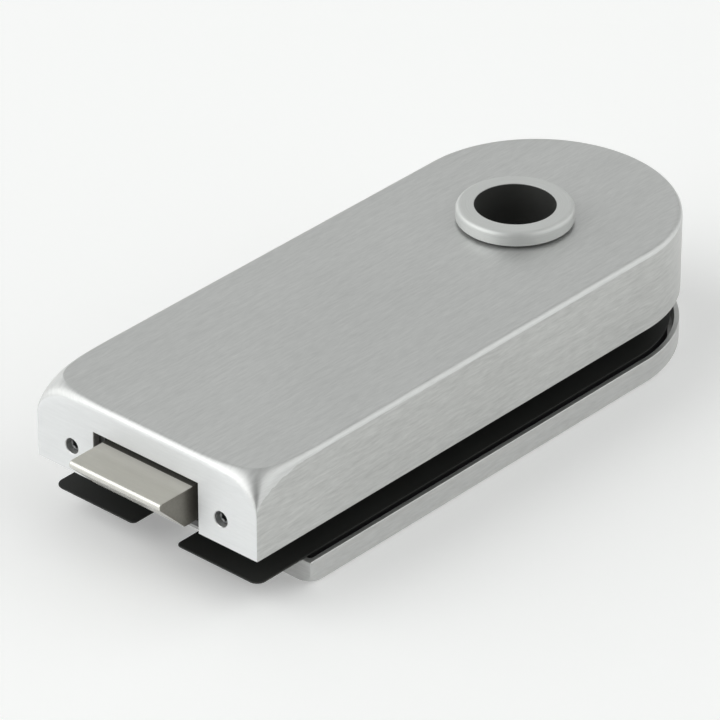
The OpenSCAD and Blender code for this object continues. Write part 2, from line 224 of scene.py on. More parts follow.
def edge_levels(h, rs, rf, ball, depth, w, rmin, more=()):
    """Heights with the insets of a bar with filleted top edges and rounded top
    corners. The corner's arc along the diagonal starts at the given depth."""
    hs = {0.0, h} | {round(q, 4) for q in more}
    for r, d, n in ((rs, rs, 12), (rf, rf, 14), (ball, depth, 22)):
        top = math.asin(min(1.0, d / r))
        hs |= {round(h - d + r * math.sin(top * i / n), 4) for i in range(n + 1)}
    hs = sorted(q for q in hs if q >= 0)
    rows = []
    for q in hs:
        def inset(r, d):
            t = max(0.0, q - (h - d))
            return r - math.sqrt(max(0.0, r * r - t * t))
        a, f = inset(rs, rs), inset(rf, rf)
        e = max(0.414 * rmin, inset(ball, depth) - (a + f) / math.sqrt(2))
        rows.append((q, a, f, math.sqrt(2) * (1 + w) * e))
    return rows


# ------------------------------------------------------------------ case cover
RING_HOLE = 12.05
WALL = 2.0
TOP_T = 2.5
R_SIDE, R_FRONT = 1.55, 2.1
R_CORNER, CORNER_DEPTH, CORNER_W = 12.8, 11.2, 2.5
BREAK = 0.18
SLOT_Y, SLOT_Z = 17.0, CZ0 + 14.1
(_, SY0, SZ0), (_, SY1, SZ1) = mm("cover_screws")
HOLE_Y = (SY1 - (SZ1 - SZ0) / 2)
HOLE_Z = (SZ0 + SZ1) / 2
HOLE_R = 2.05


FLARE_TOP, FLARE_TILT = 4.2, math.tan(math.radians(22.5))


def flare(p):
    """Slanting cut along the front's top edge that deepens towards the corners."""
    x, y, z = p
    d = z - CZ1 + 1.65 + 2.0 * (max(0.0, abs(y) - 10.0) / 23.0) ** 2
    if d <= -0.25 or z < CZ1 - FLARE_TOP + 0.01:
        return p
    c = FLARE_TILT * (d if d >= 0.25 else (d + 0.25) ** 2)
    a, k = x - CX0, 0.12
    return (CX0 + max(a, 0.5 * (a + c + math.hypot(a - c, k) - k)), y, z)


def make_case():
    b = Build()
    h = CZ1 - CZ0
    more = [h - FLARE_TOP + 0.2 * i for i in range(20)]
    rows = [(z, ds, df, ln) for z, ds, df, ln in edge_levels(h, R_SIDE, R_FRONT, R_CORNER, CORNER_DEPTH, CORNER_W, 0.3, more) if z > BREAK]
    rows = [(0.0, BREAK, BREAK, rows[0][3]), (BREAK, 0.0, 0.0, rows[0][3])] + rows
    loops = [plan_loop(CX0, ds, df, ln, CZ0 + z, CORNER_W, n_front=72) for z, ds, df, ln in rows]
    loops = [{k: [flare(p) for p in run] for k, run in lp.items()} for lp in loops]
    for a, c in zip(loops, loops[1:]):
        b.strip(around(a), around(c))
    first = next(i for i, r in enumerate(rows) if abs(r[0] - (h - FLARE_TOP)) < 1e-3)
    for a, c in zip(loops[first:], loops[first + 1:]):
        b.strip(a["front"], c["front"])
    xi = CX0 + WALL
    # front face, its notch for the latch and the two screw holes
    s = SLOT_Y + BREAK
    lefts = [lp["front"][0] for lp in loops[1:first + 1]]
    rights = [lp["front"][-1] for lp in loops[1:first + 1]]
    outer = lefts + loops[first]["front"][1:-1] + rights[::-1]
    notch = [(CX0, -s, CZ0 + BREAK), (CX0, -s, SLOT_Z + BREAK), (CX0, s, SLOT_Z + BREAK), (CX0, s, CZ0 + BREAK)]
    hole = lambda x, y, r: [(x, y + p, HOLE_Z + q) for p, q in circle(0, 0, r, 56)]
    b.planar(outer + notch, [hole(CX0, k * HOLE_Y, HOLE_R + BREAK) for k in (-1, 1)], 0)
    slot_a = [(CX0 + BREAK, -SLOT_Y, CZ0), (CX0 + BREAK, -SLOT_Y, SLOT_Z), (CX0 + BREAK, SLOT_Y, SLOT_Z), (CX0 + BREAK, SLOT_Y, CZ0)]
    slot_b = [(xi, y, z) for _, y, z in slot_a]
    b.strip(notch, slot_a)
    b.strip(slot_a, slot_b)
    for k in (-1, 1):
        rim = [hole(CX0, k * HOLE_Y, HOLE_R + BREAK), hole(CX0 + BREAK, k * HOLE_Y, HOLE_R), hole(xi, k * HOLE_Y, HOLE_R)]
        b.strip(rim[0], rim[1], True)
        b.strip(rim[1], rim[2], True)
    # bottom edge breaks of the front face, each side of the notch
    l0, l1 = loops[0], loops[1]
    b.poly([l0["front"][0], l1["front"][0], notch[3], slot_a[3]])
    b.poly([l0["front"][-1], l1["front"][-1], notch[0], slot_a[0]])
    # inside of the shell
    zt = CZ1 - TOP_T
    ri = CASE_R - WALL
    ang = np.linspace(0, math.pi, 97)
    bev = 5.0
    low = [(xi, -ri + bev, CZ0), (xi + bev, -ri, CZ0), (ARC_X, -ri, CZ0)]
    low += [(ARC_X + ri * math.sin(a), -ri * math.cos(a), CZ0) for a in ang[1:]]
    low += [(xi + bev, ri, CZ0), (xi, ri - bev, CZ0)]
    high = [(x, y, zt) for x, y, _ in low]
    b.strip(low, high)
    rb = ri - bev
    b.planar([(xi, rb, CZ0), (xi, rb, zt), (xi, -rb, zt), (xi, -rb, CZ0)] + slot_b, [hole(xi, k * HOLE_Y, HOLE_R) for k in (-1, 1)], 0)
    b.planar(high, [circle(0, 0, RING_HOLE, 96, zt)], 2)
    # rim underneath
    b.planar([slot_a[0]] + around(l0) + [slot_a[3], slot_b[3]] + low[::-1] + [slot_b[0]], [], 2)
    # top and the ring's hole
    top = loops[-1]
    b.planar(around(top) + top["front"][1:-1], [circle(0, 0, RING_HOLE, 96, CZ1)], 2)
    b.strip(circle(0, 0, RING_HOLE, 96, CZ1), circle(0, 0, RING_HOLE, 96, zt), True)
    return b.piece("lock_case", sharp=18)


# ------------------------------------------------------------------ counterplate
(PX0, _, PZ0), (PX1, PY1, PZ1) = mm("counterplate")
P_RIM = 1.3


def make_counterplate():
    b = Build()
    h = PZ1 - PZ0
    rows = [(z, ds, df, ln) for z, ds, df, ln in edge_levels(h, 1.4, 1.4, 4.0, 4.0, 0.7071, 0.3) if z > 0.15]
    rows = [(0.0, 0.15, 0.15, 0.3), (0.15, 0.0, 0.0, 0.3)] + rows
    loops = [plan_loop(PX0, ds, df, ln, PZ1 - z, 0.7071) for z, ds, df, ln in rows]
    for a, c in zip(loops, loops[1:]):
        b.strip(around(a), around(c))
        b.strip(a["front"], c["front"])
    bottom = loops[-1]
    b.planar(around(bottom) + bottom["front"][1:-1], [circle(0, 0, 12.25, 96, PZ0)], 2)
    hole = [circle(0, 0, 12.25, 96, PZ0), circle(0, 0, 12.0, 96, PZ0 + 0.25), circle(0, 0, 12.0, 96, PZ0 + 2)]
    b.strip(hole[0], hole[1], True)
    b.strip(hole[1], hole[2], True)
    ri = CASE_R - P_RIM
    xi = PX0 + P_RIM
    rc = 1.0
    rim_in = plan_loop(PX0, P_RIM, P_RIM, rc, PZ1, 0.7071)
    floor_in = plan_loop(PX0, P_RIM, P_RIM, rc, PZ0 + 2, 0.7071)
    full = lambda lp: around(lp) + lp["front"][1:-1]
    b.planar(full(loops[0]), [full(rim_in)], 2)
    b.strip(full(rim_in), full(floor_in), True)
    b.planar(full(floor_in), [hole[2]], 2)
    return b.piece("counter_plate")


# ------------------------------------------------------------------ turned pieces
(_, _, RZ0), (RX1, _, RZ1) = mm("handle_ring")
(_, _, BZ0), (BX1, _, BZ1) = mm("handle_bush")


def make_ring():
    b = Build()
    ro, ri = RX1, BX1
    prof = [(ri, RZ0), (12.0, RZ0), (12.0, CZ1 + 0.01), (13.8, CZ1 + 0.01), (13.8, CZ1 + 0.7)]
    prof += arc(ro - 0.25, CZ1 + 0.95, 0.25, -90, 0, 5)
    prof += arc(ro - 1.3, RZ1 - 1.3, 1.3, 0, 90, 14)
    prof += arc(ri + 0.12, RZ1 - 0.12, 0.12, 90, 180, 4)
    revolve(b, prof, 192)
    return b.piece("lever_ring", sharp=40)


def make_bush():
    b = Build()
    ro, ri = BX1, 9.8
    prof = [(ri, BZ0), (ro - 0.02, BZ0), (ro - 0.02, BZ1 - 0.04), (ro - 0.05, BZ1)]
    prof += [(ro - 0.09, BZ1 - 0.04), (ro - 0.12, BZ1 - 0.2), (ri + 0.1, BZ1 - 5.0), (ri + 0.03, BZ1 - 6.0), (ri, BZ1 - 7.0)]
    revolve(b, prof, 160)
    return b.piece("lever_bush", sharp=40)


# ------------------------------------------------------------------ latch head
(LX0, LY0, LZ0), (LX1, LY1, LZ1) = mm("latch_bolt")


def make_latch():
    flank = 0.35
    ramp = (LZ1 - LZ0) - 1.6
    poly = [(LX1, LZ0, 0.4), (LX1, LZ1, 0.4), (LX0, LZ1, 1.1), (LX0, LZ1 - 1.6, 1.15), (LX0 + ramp, LZ0, 0.9)]
    n = len(poly)
    lines = []
    for i in range(n):
        (x0, z0, _), (x1, z1, _) = poly[i], poly[(i + 1) % n]
        dx, dz = x1 - x0, z1 - z0
        k = math.hypot(dx, dz)
        nx, nz = dz / k, -dx / k                      # outward for this winding
        lines.append((nx, nz, nx * x0 + nz * z0))
    corners, spans = [], []
    for i in range(n):
        a, c = lines[i - 1], lines[i]
        r = poly[i][2]
        d = a[0] * c[1] - a[1] * c[0]
        ka, kc = a[2] - r, c[2] - r
        corners.append(((ka * c[1] - a[1] * kc) / d, (a[0] * kc - ka * c[0]) / d, r))
        t0, t1 = math.atan2(a[1], a[0]), math.atan2(c[1], c[0])
        while t1 > t0:
            t1 -= 2 * math.pi
        if t0 - t1 > math.pi:
            t1 += 2 * math.pi
        spans.append((t0, t1))
    m = 12
    stops = [CX0 + q for q in (2.0, 0.62, 0.3, -0.02, -0.6, -1.2, -1.8, -2.4, -3.0, -3.6, -4.2, -4.8, -6.0)]

    def ring(q, y):
        """The outline at one level, with extra points along the top."""
        pts = []
        for i, ((cx, cz, r), (t0, t1)) in enumerate(zip(corners, spans)):
            pts += [(cx + (r - q) * math.cos(t0 + (t1 - t0) * j / m), y, cz + (r - q) * math.sin(t0 + (t1 - t0) * j / m)) for j in range(m + 1)]
            if i == 1:
                pts += [(x, y, LZ1 - q) for x in stops]
        return pts
    b = Build()
    rows = []
    for i in range(7):
        a = math.pi / 2 * i / 6
        rows.append(ring(flank * (1 - math.sin(a)), LY0 + flank - flank * math.cos(a)))
    for y in np.linspace(LY0 + flank, LY1 - flank, 9)[1:-1]:
        rows.append(ring(0.0, y))
    for i in range(7):
        a = math.pi / 2 * (6 - i) / 6
        rows.append(ring(flank * (1 - math.sin(a)), LY1 - flank + flank * math.cos(a)))
    for p, q in zip(rows, rows[1:]):
        b.strip(p, q, True)
    b.poly(rows[0])
    b.poly(rows[-1])
    return b.piece("latch_head", sharp=50)


# ------------------------------------------------------------------ black layer
(IX0, IY0, IZ0), (IX1, IY1, IZ1) = mm("intermediate_plate")


def offset_loop(loop, d):
    """Moves a closed outline of many points inwards by d."""
    p = np.array(loop, float)
    t = np.roll(p, -1, 0) - np.roll(p, 1, 0)
    t /= np.linalg.norm(t, axis=1)[:, None]
    area = 0.5 * np.sum(p[:, 0] * np.roll(p[:, 1], -1) - np.roll(p[:, 0], -1) * p[:, 1])
    nrm = np.stack([-t[:, 1], t[:, 0]], 1) * (1 if area > 0 else -1)
    return [tuple(q) for q in p + nrm * d]


def dense(pts, step):
    out = []
    for i, p in enumerate(pts):
        q = pts[(i + 1) % len(pts)]
        n = max(1, int(math.hypot(q[0] - p[0], q[1] - p[1]) / step))
        out += [(p[0] + (q[0] - p[0]) * k / n, p[1] + (q[1] - p[1]) * k / n) for k in range(n)]
    return out


def plate_outline():
    hw, nt, r, rn, rd = IY1, 7.0, 2.6, 1.3, 1.0
    back = IX0 + 14.0
    a = lambda cx, cy, rad, t0, t1, n: [(cx + rad * math.cos(math.radians(t0 + (t1 - t0) * i / n)),
                                         cy + rad * math.sin(math.radians(t0 + (t1 - t0) * i / n))) for i in range(n + 1)]
    pts = a(ARC_X, 0, hw, -90, 90, 120)
    pts += a(IX0 + r, hw - r, r, 90, 180, 14)
    pts += a(IX0 + rn, nt + rn, rn, 180, 270, 8)
    pts += a(back - rd, nt - rd, rd, 90, 0, 8)
    pts += a(back - rd, -nt + rd, rd, 0, -90, 8)
    pts += a(IX0 + rn, -nt - rn, rn, 90, 180, 8)
    pts += a(IX0 + r, -hw + r, r, 180, 270, 14)
    return dense(pts, 3.0)


CLAMPS = None


def make_plate():
    global CLAMPS
    b = Build()
    lo, hi = mm("glass_sleeves")
    xs = (lo[0] + 6.0, hi[0] - 6.0)
    CLAMPS = [(xs[0], 19.0), (xs[0], -19.0), (xs[1], 17.0), (xs[1], -17.0)]
    line = plate_outline()
    e = 0.2
    at = lambda lp, z: [(x, y, z) for x, y in lp]
    inner = offset_loop(line, e)
    rows = [at(inner, IZ0), at(offset_loop(line, e * 0.3), IZ0 + e * 0.3), at(line, IZ0 + e), at(line, IZ1 - e), at(offset_loop(line, e * 0.3), IZ1 - e * 0.3), at(inner, IZ1)]
    for p, q in zip(rows, rows[1:]):
        b.strip(p, q, True)
    for z in (IZ0, IZ1):
        b.planar(at(inner, z), [circle(0, 0, 13.3, 72, z)] + [circle(x, y, 6.3, 48, z) for x, y in CLAMPS], 2)
    for x, y, r, n in [(0, 0, 13.3, 72)] + [(x, y, 6.3, 48) for x, y in CLAMPS]:
        b.strip(circle(x, y, r, n, IZ0), circle(x, y, r, n, IZ1), True)
    return b.piece("black_layer_plate", sharp=40)


# ------------------------------------------------------------------ set screws
def make_set_screws():
    (sx0, _, _), (sx1, _, _) = mm("cover_screws")
    b = Build()
    n = 60
    for k in (-1, 1):
        y0, z0 = k * HOLE_Y, HOLE_Z
        ring = lambda x, r, tw=0.0: [(x, y0 + r * math.cos(tw + 2 * math.pi * i / n), z0 + r * math.sin(tw + 2 * math.pi * i / n)) for i in range(n)]
        rows = [(sx0, 1.45), (sx0 + 0.32, 1.72)]
        x = sx0 + 0.32
        while x < sx1 - 1.2:                          # rolled thread as fine rings
            rows += [(x + 0.12, 1.93), (x + 0.3, 1.93), (x + 0.42, 1.72), (x + 0.5, 1.72)]
            x += 0.5
        rows += [(sx1 - 0.4, 1.72), (sx1, 1.2)]
        loops = [ring(x, r) for x, r in rows]
        for p, q in zip(loops, loops[1:]):
            b.strip(p, q, True)
        b.poly(loops[-1])
        # hexagon socket with a turned countersink
        hexa = []
        for i in range(n):
            t = 2 * math.pi * i / n
            m = (t + math.pi / 6) % (math.pi / 3) - math.pi / 6
            hexa.append(1.0 / math.cos(m))
        hx = lambda x, s: [(x, y0 + s * hexa[i] * math.cos(2 * math.pi * i / n), z0 + s * hexa[i] * math.sin(2 * math.pi * i / n)) for i in range(n)]
        sock = [ring(sx0, 1.45), ring(sx0 + 0.05, 1.22), hx(sx0 + 0.22, 1.0), hx(sx0 + 2.1, 1.0)]
        for p, q in zip(sock, sock[1:]):
            b.strip(p, q, True)
        tip = (sx0 + 2.5, y0, z0)
        for i in range(n):
            b.poly([sock[-1][i], sock[-1][(i + 1) % n], tip])
    return b.piece("set_screws", sharp=35)


# ------------------------------------------------------------------ springs
def make_coil(name, node, mean_r, wire, turns, axis_y, axis_z):
    (x0, _, _), (x1, _, _) = mm(node)
    ln = x1 - x0
    steps, sides = 40, 12
    n = turns * steps
    b = Build()
    rows = []
    for i in range(n + 1):
        t = turns * i / n
        if t < 1:
            x = wire / 2 + t * wire
        elif t > turns - 1:
            x = ln - wire / 2 - (turns - t) * wire
        else:
            x = 1.5 * wire + (t - 1) * (ln - 3 * wire) / (turns - 2)
        a = 2 * math.pi * i / steps
        w = wire / 2 * (0.985 if i in (0, n) else 1.0)
        rows.append([(x0 + x + w * math.sin(2 * math.pi * j / sides),
                      axis_y + (mean_r + w * math.cos(2 * math.pi * j / sides)) * math.cos(a),
                      axis_z + (mean_r + w * math.cos(2 * math.pi * j / sides)) * math.sin(a)) for j in range(sides)])
    for p, q in zip(rows, rows[1:]):
        b.strip(p, q, True)
    b.poly(rows[0])
    b.poly(rows[-1])
    return b.piece(name, sharp=60, weighted=False)


# ------------------------------------------------------------------ UVs
def unfold(ob, z_top):
    """Grain coordinates in metres: along the case, and across it round the edges."""
    me = ob.data
    uv = me.uv_layers.new(name="grain")
    co = np.empty(len(me.vertices) * 3)
    me.vertices.foreach_get("co", co)
    co = co.reshape(-1, 3)
    data = np.empty((len(me.loops), 2))
    ax, r = ARC_X * 0.001, CASE_R * 0.001
    for p in me.polygons:
        n = p.normal
        c = p.center
        for li in p.loop_indices:
            x, y, z = co[me.loops[li].vertex_index]
            drop = abs(z_top - z)
            if abs(n.z) > 0.72:
                u, v = x, y
            elif n.x < -0.93 and c.x < -0.1:
                u, v = y, z
            elif c.x > ax:
                a = math.atan2(x - ax, -y)
                u, v = ax + r * a, -r - drop
            else:
                u, v = x, (y - drop if c.y < 0 else y + drop)
            data[li] = (u, v)
    uv.data.foreach_set("uv", data.ravel())


def turn_uv(ob):
    """Grain coordinates of a turned piece: round it, and along its profile."""
    me = ob.data
    uv = me.uv_layers.new(name="grain")
    data = np.empty((len(me.loops), 2))
    for p in me.polygons:
        ac = math.atan2(p.center.y, p.center.x)
        for li in p.loop_indices:
            v = me.vertices[me.loops[li].vertex_index].co
            a = math.atan2(v.y, v.x)
            if a - ac > math.pi:
                a -= 2 * math.pi
            elif ac - a > math.pi:
                a += 2 * math.pi
            rr = math.hypot(v.x, v.y)
            data[li] = (a * 0.0125, rr - v.z)
    uv.data.foreach_set("uv", data.ravel())


def grain_uv(ob):
    """Grain coordinates of a ground block: strokes run across it."""
    me = ob.data
    uv = me.uv_layers.new(name="grain")
    data = np.empty((len(me.loops), 2))
    for i, lp in enumerate(me.loops):
        v = me.vertices[lp.vertex_index].co
        data[i] = (v.y, v.x - v.z)
    uv.data.foreach_set("uv", data.ravel())


# ------------------------------------------------------------------ materials
class Mat:
    """A small node-tree writer."""

    def __init__(self, name):
        self.m = bpy.data.materials.new(name)
        self.m.use_nodes = True
        self.t = self.m.node_tree
        self.t.nodes.clear()
        self.out = self.add("ShaderNodeOutputMaterial")
        self.bsdf = self.add("ShaderNodeBsdfPrincipled")
        self.link(self.bsdf, "BSDF", self.out, "Surface")

    def add(self, kind, **kw):
        n = self.t.nodes.new(kind)
        for k, v in kw.items():
            setattr(n, k, v)
        return n

    def link(self, a, so, b, si):
        self.t.links.new(a.outputs[so], b.inputs[si])

    def set(self, **kw):
        for k, v in kw.items():
            self.bsdf.inputs[k.replace("_", " ")].default_value = v
        return self

    def coords(self, kind, scale, uv=None):
        """Scaled object or grain coordinates."""
        mp = self.add("ShaderNodeMapping")
        mp.inputs["Scale"].default_value = scale
        mp.inputs["Location"].default_value = (217.3, 391.7, 153.1)
        if kind == "uv":
            src = self.add("ShaderNodeUVMap", uv_map=uv)
            self.link(src, "UV", mp, "Vector")
        else:
            src = self.add("ShaderNodeTexCoord")
            self.link(src, "Object", mp, "Vector")
        return mp

    def noise(self, mp, scale=1.0, detail=2.0, rough=0.5, dist=0.0):
        n = self.add("ShaderNodeTexNoise")
        n.inputs["Scale"].default_value = scale
        n.inputs["Detail"].default_value = detail
        n.inputs["Roughness"].default_value = rough
        n.inputs["Distortion"].default_value = dist
        self.link(mp, "Vector", n, "Vector")
        return n

    def span(self, src, lo, hi, a=0.3, b=0.7, out="Fac"):
        r = self.add("ShaderNodeMapRange")
        r.inputs["From Min"].default_value = a
        r.inputs["From Max"].default_value = b
        r.inputs["To Min"].default_value = lo
        r.inputs["To Max"].default_value = hi
        self.link(src, out, r, "Value")
        return r

    def math(self, op, a, b, ao=0, bo=0):
        n = self.add("ShaderNodeMath", operation=op)
        for i, (s, o) in enumerate(((a, ao), (b, bo))):
            if isinstance(s, (int, float)):
                n.inputs[i].default_value = s
            else:
                self.t.links.new(s.outputs[o], n.inputs[i])
        return n

    def tint(self, fac, c0, c1):
        m = self.add("ShaderNodeMix", data_type="RGBA")
        m.inputs["A"].default_value = (*c0, 1)
        m.inputs["B"].default_value = (*c1, 1)
        for i in m.inputs:
            if i.name == "A" and i.type == "RGBA":
                i.default_value = (*c0, 1)
            if i.name == "B" and i.type == "RGBA":
                i.default_value = (*c1, 1)
        self.t.links.new(fac.outputs[0], m.inputs["Factor"])
        return m

    def colour(self, mix):
        out = [o for o in mix.outputs if o.type == "RGBA"][0]
        self.t.links.new(out, self.bsdf.inputs["Base Color"])

    def bump(self, src, strength, distance, out=0):
        n = self.add("ShaderNodeBump")
        n.inputs["Strength"].default_value = strength
        n.inputs["Distance"].default_value = distance
        self.t.links.new(src.outputs[out], n.inputs["Height"])
        self.link(n, "Normal", self.bsdf, "Normal")
        return n


def brushed(name, c0, c1, rough, along=230.0, across=1500.0, grain=0.10, uv="grain", cloud=18.0, bump=0.05, metallic=0.6):
    """Brushed and anodised aluminium: short fine strokes, some long ones, soft clouding."""
    k = Mat(name)
    fine = k.noise(k.coords("uv", (along, across, 1.0), uv), 1.0, 3.0, 0.62, 0.25)
    broad = k.noise(k.coords("uv", (along * 0.14, across * 0.45, 1.0), uv), 1.0, 2.0, 0.5, 0.15)
    soft = k.noise(k.coords("object", (cloud, cloud, cloud)), 1.0, 3.0, 0.55)
    strokes = k.math("ADD", k.math("MULTIPLY", fine, 0.7), k.math("MULTIPLY", broad, 0.3))
    mixed = k.math("ADD", k.math("MULTIPLY", strokes, 0.75), k.math("MULTIPLY", soft, 0.25))
    fac = k.span(mixed, 0.0, 1.0, 0.30, 0.70, 0)
    k.colour(k.tint(fac, c0, c1))
    rg = k.span(strokes, rough - grain / 2, rough + grain / 2, 0.30, 0.70, 0)
    k.link(rg, "Result", k.bsdf, "Roughness")
    k.bump(strokes, bump, 0.00004)
    return k.set(Metallic=metallic).m


def blended(name, mark, one, two, along=230.0, across=1500.0, grain=0.10, bump=0.04):
    """Brushed metal that passes from one finish to another by a stored mark; here the second finish also paints light
    onto the metal.
    Each finish is its two tones, its roughness and how metallic it looks."""
    k = Mat(name)
    by = k.add("ShaderNodeAttribute", attribute_name=mark)
    fine = k.noise(k.coords("uv", (along, across, 1.0), "grain"), 1.0, 3.0, 0.62, 0.25)
    broad = k.noise(k.coords("uv", (along * 0.14, across * 0.45, 1.0), "grain"), 1.0, 2.0, 0.5, 0.15)
    soft = k.noise(k.coords("object", (18.0, 18.0, 18.0)), 1.0, 3.0, 0.55)
    strokes = k.math("ADD", k.math("MULTIPLY", fine, 0.7), k.math("MULTIPLY", broad, 0.3))
    mixed = k.math("ADD", k.math("MULTIPLY", strokes, 0.75), k.math("MULTIPLY", soft, 0.25))
    fac = k.span(mixed, 0.0, 1.0, 0.30, 0.70, 0)
    pair = [k.tint(fac, *q[:2]) for q in (one, two)]
    both = k.add("ShaderNodeMix", data_type="RGBA")
    k.link(by, "Fac", both, "Factor")
    for end, q in zip("AB", pair):
        into = [i for i in both.inputs if i.name == end and i.type == "RGBA"][0]
        k.t.links.new([o for o in q.outputs if o.type == "RGBA"][0], into)
    k.colour(both)
    rg = k.math("ADD", k.span(by, one[2], two[2], 0.0, 1.0), k.span(strokes, -grain / 2, grain / 2, 0.30, 0.70, 0))
    k.t.links.new(rg.outputs[0], k.bsdf.inputs["Roughness"])
    k.link(k.span(by, one[3], two[3], 0.0, 1.0), "Result", k.bsdf, "Metallic")
    k.bump(strokes, bump, 0.00004)
    return k.m


def mark_corners(ob, name, value):
    """Stores a number between 0 and 1 at each face corner, from its normal and place."""
    me = ob.data
    at = me.attributes.new(name, "FLOAT", "CORNER")
    smooth = lambda q: (lambda t: t * t * (3 - 2 * t))(min(1.0, max(0.0, q)))
    out = [smooth(value(n.vector, me.vertices[lp.vertex_index].co)) for n, lp in zip(me.corner_normals, me.loops)]
    at.data.foreach_set("value", out)


def metal(name, c0, c1, rough, vary=0.10, scale=260.0, bump=0.05, metallic=1.0, stretch=(1, 1, 1), dist=0.00003):
    """Plain metal: cast, plated or turned, with fine grain and slow tone shifts."""
    k = Mat(name)
    fine = k.noise(k.coords("object", tuple(scale * 6 * q for q in stretch)), 1.0, 3.0, 0.6)
    slow = k.noise(k.coords("object", (scale * 0.35,) * 3), 1.0, 3.0, 0.5)
    mixed = k.math("ADD", k.math("MULTIPLY", fine, 0.55), k.math("MULTIPLY", slow, 0.45))
    fac = k.span(mixed, 0.0, 1.0, 0.30, 0.70, 0)
    k.colour(k.tint(fac, c0, c1))
    rg = k.span(mixed, rough - vary / 2, rough + vary / 2, 0.30, 0.70, 0)
    k.link(rg, "Result", k.bsdf, "Roughness")
    k.bump(fine, bump, dist)
    return k.set(Metallic=metallic).m


def plastic(name, c0, c1, rough, scale=900.0, bump=0.12, dist=0.00005, spec=0.5):
    """Black moulded plastic or fibre with a fine texture."""
    k = Mat(name)
    fine = k.noise(k.coords("object", (scale * 4,) * 3), 1.0, 3.0, 0.6)
    slow = k.noise(k.coords("object", (scale * 0.1,) * 3), 1.0, 2.0, 0.5)
    fac = k.span(k.math("ADD", k.math("MULTIPLY", fine, 0.5), k.math("MULTIPLY", slow, 0.5)), 0.0, 1.0, 0.3, 0.7, 0)
    k.colour(k.tint(fac, c0, c1))
    rg = k.span(fine, rough - 0.06, rough + 0.06, 0.3, 0.7, 0)
    k.link(rg, "Result", k.bsdf, "Roughness")
    k.bump(fine, bump, dist)
    k.bsdf.inputs["Specular IOR Level"].default_value = spec
    return k.set(Metallic=0.0).m


M = {
    "case": brushed("case_brushed", (0.58, 0.585, 0.58), (0.735, 0.74, 0.735), 0.36, metallic=0.7),
    # painted shade: a darker copy of the brushed case metal, so the upright sides read darker than the top
    "side": brushed("side_brushed_shade", (0.425, 0.429, 0.42), (0.64, 0.645, 0.63), 0.36, grain=0.14, bump=0.06, metallic=0.7),
    # milled end-face finish on faces turned to −X, with a whiter base that is painted light on the lit front face
    "front": blended("front_milled_lit", "milled_lit", ((0.58, 0.585, 0.58), (0.735, 0.74, 0.735), 0.36, 0.7),
                     ((0.73, 0.74, 0.745), (0.80, 0.81, 0.815), 0.48, 0.25)),
    "plate": brushed("plate_brushed", (0.50, 0.504, 0.495), (0.66, 0.664, 0.655), 0.36, metallic=0.7),
    "ring": brushed("ring_turned", (0.61, 0.62, 0.61), (0.71, 0.72, 0.71), 0.38, along=110.0, across=5200.0, grain=0.06, cloud=30.0, bump=0.03, metallic=0.4),
    # faces turned to −X pass to a polished finish with a whiter base: the gloss is real polish, the whiter base is
    # painted highlight on the nose
    "latch": blended("latch_nickel", "polished_lit", ((0.47, 0.46, 0.415), (0.54, 0.525, 0.475), 0.36, 0.2),
                     ((0.63, 0.62, 0.575), (0.71, 0.70, 0.655), 0.26, 0.75), 160.0, 1100.0, 0.06, 0.02),
    # painted light: the latch top turns whiter towards the slot, standing in for the light lost in the slot's shade
    "slot_light": blended("latch_slot_light", "slot_light", ((0.47, 0.46, 0.415), (0.54, 0.525, 0.475), 0.36, 0.2),
                      ((0.86, 0.845, 0.79), (0.93, 0.915, 0.86), 0.36, 0.12), 160.0, 1100.0, 0.06, 0.02),
    # painted shade: the latch is coloured near black where it runs inside the slot
    "inner": metal("latch_slot_shade", (0.10, 0.097, 0.088), (0.15, 0.145, 0.13), 0.45, 0.10, 240.0, 0.04, metallic=0.3),
    # painted shade: a darker copy of the latch metal for its side faces, so they read darker than the top
    "flank": metal("latch_flank_shade", (0.20, 0.19, 0.165), (0.27, 0.258, 0.228), 0.36, 0.10, 240.0, 0.08, metallic=0.7),
    "black": plastic("black_plastic", (0.032, 0.033, 0.031), (0.045, 0.046, 0.043), 0.48),
    "layer": plastic("black_layer", (0.024, 0.025, 0.024), (0.034, 0.035, 0.033), 0.50, 500.0, 0.10, spec=0.14),
    "coated": metal("black_steel", (0.014, 0.014, 0.014), (0.022, 0.022, 0.022), 0.5, 0.12, 300.0, 0.08, metallic=0.0),
    "zinc": metal("zinc_sheet", (0.50, 0.51, 0.53), (0.60, 0.61, 0.62), 0.36, 0.14, 160.0, 0.05),
    # painted shade: the cast zinc pieces inside the case are coloured near black, standing for the shade they sit in
    "cast": metal("cast_zinc", (0.10, 0.10, 0.10), (0.15, 0.15, 0.15), 0.55, 0.14, 420.0, 0.20, dist=0.00008),
    "screw": metal("screw_steel", (0.42, 0.43, 0.44), (0.55, 0.56, 0.57), 0.30, 0.12, 300.0, 0.05),
    "follower": metal("sintered_steel", (0.30, 0.30, 0.29), (0.38, 0.38, 0.36), 0.50, 0.12, 520.0, 0.20, dist=0.00006),
    "set": metal("set_screw_dark", (0.15, 0.155, 0.155), (0.21, 0.215, 0.215), 0.42, 0.12, 300.0, 0.06),
    "spring": metal("spring_wire", (0.40, 0.41, 0.42), (0.50, 0.51, 0.52), 0.28, 0.08, 300.0, 0.04),
    "lined": metal("bearing_lining", (0.44, 0.46, 0.46), (0.54, 0.56, 0.56), 0.50, 0.12, 520.0, 0.15, metallic=0.1, dist=0.00005),
    "bronze": metal("bearing_bronze", (0.52, 0.38, 0.18), (0.62, 0.47, 0.24), 0.42, 0.12, 520.0, 0.15, dist=0.00005),
}


def dress(ob, mat):
    ob.data.materials.clear()
    ob.data.materials.append(M[mat])


def place(ob, mat, body, slot, *nodes):
    dress(ob, mat)
    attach(ob, body)
    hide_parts(*nodes)
    return ob


